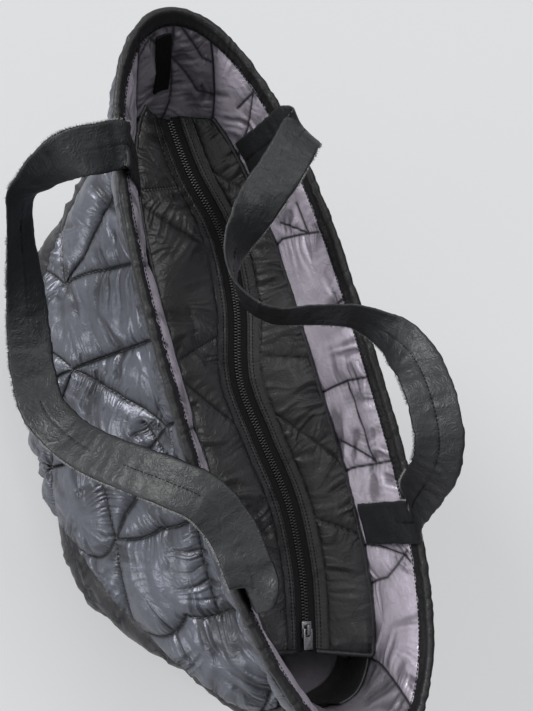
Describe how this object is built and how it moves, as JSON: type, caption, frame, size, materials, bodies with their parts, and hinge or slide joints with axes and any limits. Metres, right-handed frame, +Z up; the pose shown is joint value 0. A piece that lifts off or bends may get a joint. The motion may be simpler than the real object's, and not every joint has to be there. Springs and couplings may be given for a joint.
{
  "type": "quilted tote bag",
  "caption": "Padded tote bag with quilted walls that widen to a long open mouth, zipped flaps inside the mouth and two flat shoulder straps.",
  "frame": {"origin": "centre of the base's underside, on the floor", "axes": "+X along the mouth towards the zip's closed end, +Y from the front panel to the back panel, +Z up"},
  "size_m": [0.6016, 0.2675, 0.4052],
  "materials": {
    "outer_cloth": "smooth satin nylon over padding",
    "dark_cloth": "satin nylon",
    "lining_cloth": "smooth satin lining",
    "webbing": "folded nylon strap with stitched edges",
    "black_tape": "woven tape",
    "zip_teeth": "moulded teeth",
    "zip_metal": "dark plated zip hardware"
  },
  "bodies": {
    "bag": {"front_panel": "outer_cloth", "back_panel": "outer_cloth", "side_panel_far": "dark_cloth", "side_panel_near": "dark_cloth", "base_panel": "dark_cloth", "lining_front": "lining_cloth", "lining_back": "lining_cloth", "lining_far": "lining_cloth", "lining_near": "lining_cloth", "rim_binding": "dark_cloth", "far_tape": "black_tape", "near_patch": "black_tape", "flap_front": "dark_cloth", "flap_back": "dark_cloth", "zip_tape_front": "black_tape", "zip_tape_back": "black_tape", "zip_chain": "zip_teeth", "zip_slider": "zip_metal", "handle_front": "webbing", "handle_back": "webbing"},
    "pull": {"zip_pull": "zip_metal"}
  },
  "joints": [
    {"name": "pull_swing", "type": "hinge", "parent": "bag", "child": "pull", "pos_m": [0.211, 0.0297, 0.2298], "axis": [-0.2915, -0.9566, 0], "range_deg": [0, 150]}
  ]
}
